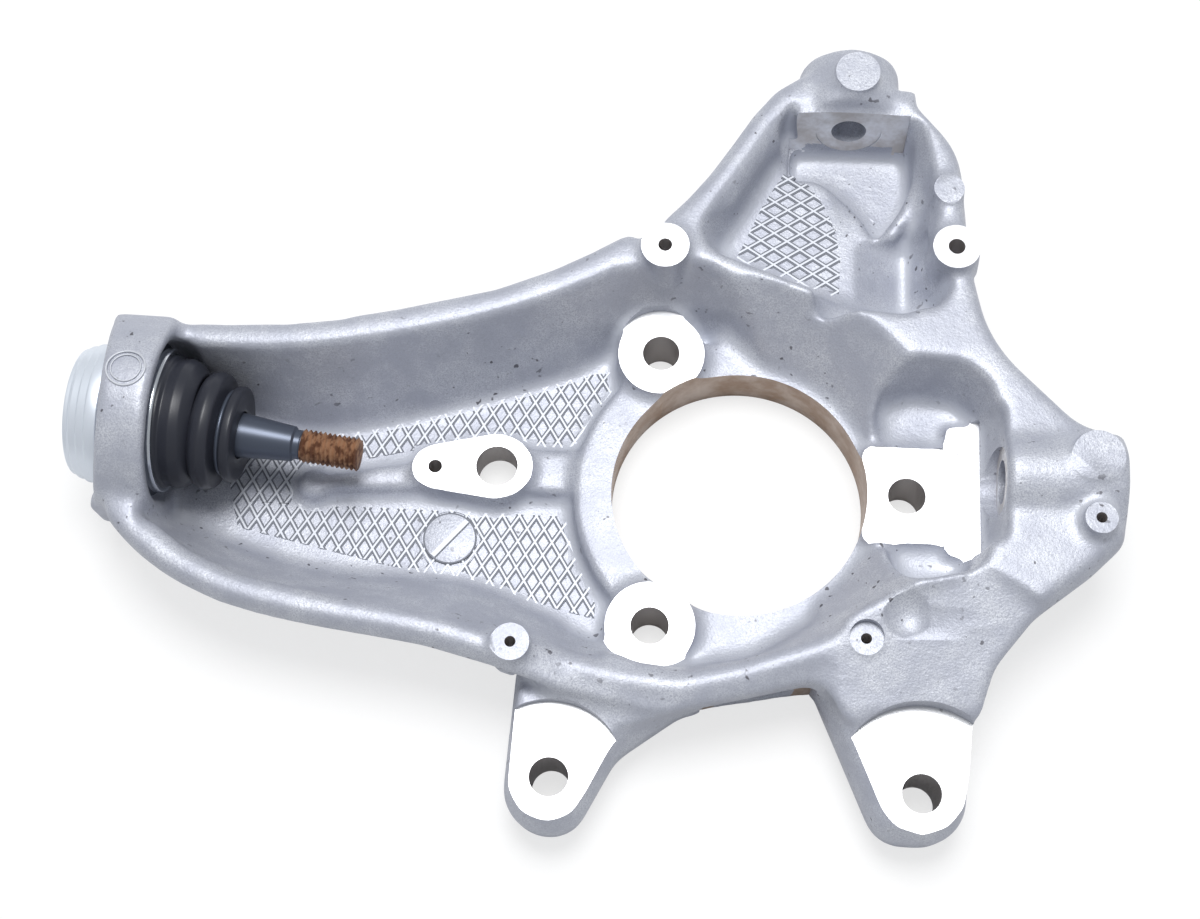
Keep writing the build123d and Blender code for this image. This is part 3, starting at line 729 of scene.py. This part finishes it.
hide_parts("rubber_boot")

stud = turned(
    "stud",
    [
        (0, -12), (4.6, -11.08), (8.5, -8.47), (11.08, -4.6), (12, 0), (11.08, 4.6), (8.5, 8.47),
        (6.5, 10.09), (6.5, 30), (8.2, 35), (8.2, 40), (6.3, 60.5), (5.3, 61.1), (5.3, 63.2), (5.0, 63.4),
        (5.0, 84.0), (0, 84.0),
    ],
    ball_centre, stud_direction, 0.25, closed=False,
)


def screw_thread(name, start, end, pitch, outer_r, root_r, centre, direction):
    """A helical thread: one zigzag profile swept round the axis while it moves on by one pitch."""
    bm = bmesh.new()
    turns = int((end - start) / pitch) + 2
    points = []
    for i in range(turns):
        base = start - pitch + i * pitch
        points += [(root_r, base), (outer_r - 0.12, base + pitch * 0.42)]
        points += [(outer_r, base + pitch * 0.5), (outer_r - 0.12, base + pitch * 0.58)]
    points.append((root_r, start - pitch + turns * pitch))
    verts = [bm.verts.new((r, 0, s)) for r, s in points]
    edges = [bm.edges.new(pair) for pair in zip(verts, verts[1:])]
    steps = 72
    bmesh.ops.spin(
        bm, geom=verts + edges, axis=(0, 0, 1), cent=(0, 0, 0), dvec=(0, 0, pitch / steps),
        angle=2 * math.pi, steps=steps,
    )
    bmesh.ops.remove_doubles(bm, verts=bm.verts, dist=0.002)
    for place, outward in ((start, -1), (end, 1)):
        cut_edges = bmesh.ops.bisect_plane(
            bm, geom=bm.verts[:] + bm.edges[:] + bm.faces[:], plane_co=(0, 0, place),
            plane_no=(0, 0, outward), clear_outer=True,
        )["geom_cut"]
        rim = [e for e in cut_edges if isinstance(e, bmesh.types.BMEdge)]
        bmesh.ops.holes_fill(bm, edges=rim, sides=0)
    bmesh.ops.recalc_face_normals(bm, faces=bm.faces)
    bmesh.ops.rotate(bm, verts=bm.verts, matrix=turn_to(direction))
    bmesh.ops.translate(bm, verts=bm.verts, vec=centre)
    return object_from(bm, name, 50)


thread = screw_thread("stud_thread", 63.6, 84.5, 1.75, 6.0, 5.0, ball_centre, stud_direction)
for piece in (stud, thread):
    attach(piece, "ball_stud")
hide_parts("ball_stud")

# Materials


def add_node(tree, kind, **values):
    """A shader node. Values name its settings, or its inputs by their names with _ for a space."""
    made = tree.nodes.new("ShaderNode" + kind)
    for key, value in values.items():
        if hasattr(made, key) and not key[0].isupper():
            setattr(made, key, value)
            continue
        by_number = key[0] == "i" and key[1:].isdigit()
        socket = made.inputs[int(key[1:]) if by_number else key.replace("_", " ")]
        if isinstance(value, bpy.types.NodeSocket):
            tree.links.new(value, socket)
        else:
            socket.default_value = value
    return made


def ramp(tree, source, low, high):
    """0 at low and 1 at high, with a smooth step between."""
    made = add_node(
        tree, "MapRange", interpolation_type="SMOOTHSTEP", Value=source, From_Min=low, From_Max=high,
    )
    return made.outputs["Result"]


def mixed(tree, share, one, other):
    """A colour between two, each a colour or a socket."""
    made = add_node(tree, "Mix", data_type="RGBA")
    for socket, value in ((made.inputs[0], share), (made.inputs[6], one), (made.inputs[7], other)):
        if isinstance(value, bpy.types.NodeSocket):
            tree.links.new(value, socket)
        else:
            socket.default_value = value if isinstance(value, float) else (*value, 1)
    return made.outputs[2]


def cloud(tree, coords, size, detail=2.0, rough=0.5):
    """Noise whose blots are about that many millimetres wide."""
    made = add_node(tree, "TexNoise", Vector=coords, Scale=1 / (size * MM), Detail=detail, Roughness=rough)
    return made.outputs["Fac"]


def grime_group():
    """Specks, stains and grain that the casting and its machined faces share."""
    group = bpy.data.node_groups.new("grime", "ShaderNodeTree")
    for name in ("Specks", "Stains", "Grain"):
        group.interface.new_socket(name, in_out="OUTPUT", socket_type="NodeSocketFloat")
    group.interface.new_socket("Position", in_out="INPUT", socket_type="NodeSocketVector")
    start = group.nodes.new("NodeGroupInput")
    end = group.nodes.new("NodeGroupOutput")
    place = start.outputs["Position"]
    specks = ramp(group, cloud(group, place, 2.6, 1.0, 0.4), 0.70, 0.76)
    patches = ramp(group, cloud(group, place, 30, 2.0), 0.42, 0.62)
    both = add_node(group, "Math", operation="MULTIPLY", i0=specks, i1=patches)
    group.links.new(both.outputs[0], end.inputs["Specks"])
    group.links.new(ramp(group, cloud(group, place, 16, 4.0, 0.65), 0.35, 0.70), end.inputs["Stains"])
    group.links.new(cloud(group, place, 0.9, 2.0, 0.6), end.inputs["Grain"])
    return group


grime = grime_group()


def surface(name, colour, metal, rough):
    """A material with its Principled BSDF and the object's coordinates."""
    made = bpy.data.materials.new(name)
    made.use_nodes = True
    tree = made.node_tree
    skin = tree.nodes["Principled BSDF"]
    skin.inputs["Base Color"].default_value = (*colour, 1)
    skin.inputs["Metallic"].default_value = metal
    skin.inputs["Roughness"].default_value = rough
    coords = add_node(tree, "TexCoord").outputs["Object"]
    return made, tree, skin, coords


def with_grime(tree, coords):
    """The outputs of the grime group at the object's coordinates."""
    made = tree.nodes.new("ShaderNodeGroup")
    made.node_tree = grime
    tree.links.new(coords, made.inputs["Position"])
    return made.outputs


def bump(tree, skin, height, depth, strength=1.0):
    """Relief of about that many millimetres."""
    made = add_node(tree, "Bump", Height=height, Distance=depth * MM, Strength=strength)
    tree.links.new(made.outputs["Normal"], skin.inputs["Normal"])


cast_metal, tree, skin, coords = surface("cast_aluminium", (0.6, 0.6, 0.6), 0.25, 0.45)
dirt = with_grime(tree, coords)
hollow = add_node(tree, "Attribute", attribute_name="hollow").outputs["Fac"]
colour = mixed(tree, dirt["Stains"], (0.45, 0.47, 0.54), (0.62, 0.64, 0.69))
speckle = ramp(tree, cloud(tree, coords, 0.55, 2.0, 0.8), 0.34, 0.62)
colour = mixed(tree, speckle, (0.40, 0.415, 0.48), colour)
# Hollows are painted a lighter, even grey from the hollow attribute: painted light against the shade that
# falls in them.
colour = mixed(tree, ramp(tree, hollow, 0.2, 1.0), colour, (0.56, 0.58, 0.64))
colour = mixed(tree, dirt["Specks"], colour, (0.12, 0.12, 0.14))
tree.links.new(colour, skin.inputs["Base Color"])
lumps = cloud(tree, coords, 2.6, 3.0, 0.6)
relief = add_node(tree, "Math", operation="MULTIPLY_ADD", i0=lumps, i1=1.2, i2=dirt["Grain"]).outputs[0]
bump(tree, skin, relief, 0.11)

ridge_metal, tree, skin, coords = surface("ridge_tops", (0.58, 0.60, 0.65), 0.25, 0.48)
# Dark material for the date disc's joint, and painted shade: the low bands at the diamond ridges' feet and
# the painted shadow strip beside the date bar.
joints_and_painted_shade, tree, skin, coords = surface("dark_joints_and_painted_shade", (0.17, 0.18, 0.21), 0.2, 0.6)

machined, tree, skin, coords = surface("machined_face", (0.86, 0.87, 0.88), 0.35, 0.32)
dirt = with_grime(tree, coords)
colour = mixed(tree, dirt["Specks"], (0.80, 0.805, 0.82), (0.35, 0.35, 0.36))
tree.links.new(colour, skin.inputs["Base Color"])
bump(tree, skin, dirt["Grain"], 0.03)

bore_metal, tree, skin, coords = surface("bore_wall", (0.50, 0.47, 0.46), 0.35, 0.4)
tan, tree, skin, coords = surface("stained_face", (0.42, 0.33, 0.25), 0.4, 0.4)
dirt = with_grime(tree, coords)
colour = mixed(tree, dirt["Stains"], (0.34, 0.23, 0.16), (0.55, 0.46, 0.40))
tree.links.new(colour, skin.inputs["Base Color"])
seat_metal, tree, skin, coords = surface("nut_seat", (0.50, 0.48, 0.46), 0.3, 0.38)
dirt = with_grime(tree, coords)
colour = mixed(tree, dirt["Stains"], (0.56, 0.53, 0.51), (0.95, 0.96, 1.0))
tree.links.new(colour, skin.inputs["Base Color"])

for kind, look in enumerate((cast_metal, machined, bore_metal, tan, seat_metal)):
    casting.data.materials[kind] = look
for piece in (trough_ridges, head_ridges, date_bar):
    piece.data.materials.append(ridge_metal)
    piece.data.materials.append(joints_and_painted_shade)
date_disc.data.materials.append(cast_metal)
date_joint.data.materials.append(joints_and_painted_shade)
eye_mark.data.materials.append(ridge_metal)

plated, tree, skin, coords = surface("plated_steel", (0.78, 0.83, 0.90), 0.5, 0.38)
dark, tree, skin, coords = surface("dark_steel", (0.085, 0.10, 0.135), 0.5, 0.36)
bright, tree, skin, coords = surface("bright_steel", (0.75, 0.78, 0.82), 1.0, 0.22)
rubber, tree, skin, coords = surface("boot_rubber", (0.022, 0.024, 0.034), 0.0, 0.4)
bump(tree, skin, cloud(tree, coords, 0.5, 2.0), 0.02)
rusty, tree, skin, coords = surface("rusty_thread", (0.3, 0.15, 0.08), 0.35, 0.6)
rust = ramp(tree, cloud(tree, coords, 3.0, 3.0), 0.4, 0.6)
colour = mixed(tree, rust, (0.14, 0.06, 0.032), (0.38, 0.21, 0.12))
tree.links.new(colour, skin.inputs["Base Color"])
housing.data.materials.append(plated)
clamp_ring.data.materials.append(bright)
boot_root.data.materials.append(rubber)
boot_tip.data.materials.append(rubber)
stud.data.materials.append(dark)
thread.data.materials.append(rusty)
for name, look in (
    ("housing_cap", plated), ("retaining_ring", dark), ("bearing_shell", rubber), ("boot_neck_ring", dark),
):
    nodes[name].data.materials.clear()
    nodes[name].data.materials.append(look)

# Stage, light and camera

floor_bm = bmesh.new()
bmesh.ops.create_grid(floor_bm, x_segments=1, y_segments=1, size=4000)
floor = object_from(floor_bm, "floor")
floor_look, tree, skin, coords = surface("floor", (0.8, 0.8, 0.8), 0.0, 0.9)
seen = add_node(tree, "LightPath").outputs["Is Camera Ray"]
tree.links.new(mixed(tree, seen, (0.80, 0.80, 0.80), (0.30, 0.30, 0.30)), skin.inputs["Base Color"])
pale = add_node(tree, "Math", operation="MULTIPLY", i0=seen, i1=0.70)
tree.links.new(pale.outputs[0], skin.inputs["Emission Strength"])
skin.inputs["Emission Color"].default_value = (1, 1, 1, 1)
skin.inputs["Specular IOR Level"].default_value = 0.0
floor.data.materials.append(floor_look)

world = bpy.data.worlds.new("world")
bpy.context.scene.world = world
world.use_nodes = True
world.node_tree.nodes["Background"].inputs["Color"].default_value = (0.93, 0.96, 1, 1)
world.node_tree.nodes["Background"].inputs["Strength"].default_value = 0.42


def lamp(name, place, aim, power, size):
    """A soft round lamp."""
    light = bpy.data.lights.new(name, "AREA")
    light.shape = "DISK"
    light.size = size
    light.energy = power
    thing = bpy.data.objects.new(name, light)
    bpy.context.scene.collection.objects.link(thing)
    thing.location = place
    thing.rotation_mode = "QUATERNION"
    thing.rotation_quaternion = (Vector(aim) - Vector(place)).to_track_quat("-Z", "Y")


lamp("key", (-0.05, 0.32, 1.5), (-0.04, 0, 0), 19, 0.7)

camera_data = bpy.data.cameras.new("camera")
camera_data.sensor_width = 36
camera_data.lens = 60
camera_data.clip_start = 0.01
camera = bpy.data.objects.new("camera", camera_data)
bpy.context.scene.collection.objects.link(camera)
right = Vector((0.99859, 0.04962, -0.01875))
up = Vector((-0.04004, 0.93695, 0.34715))
back = Vector((0.0348, -0.34591, 0.93762))
turn = Matrix((right, up, back)).transposed().to_4x4()
camera.matrix_world = Matrix.Translation(Vector((-25.3, -240.8, 701.8)) * MM) @ turn
bpy.context.scene.camera = camera
bpy.context.scene.view_settings.view_transform = "Standard"
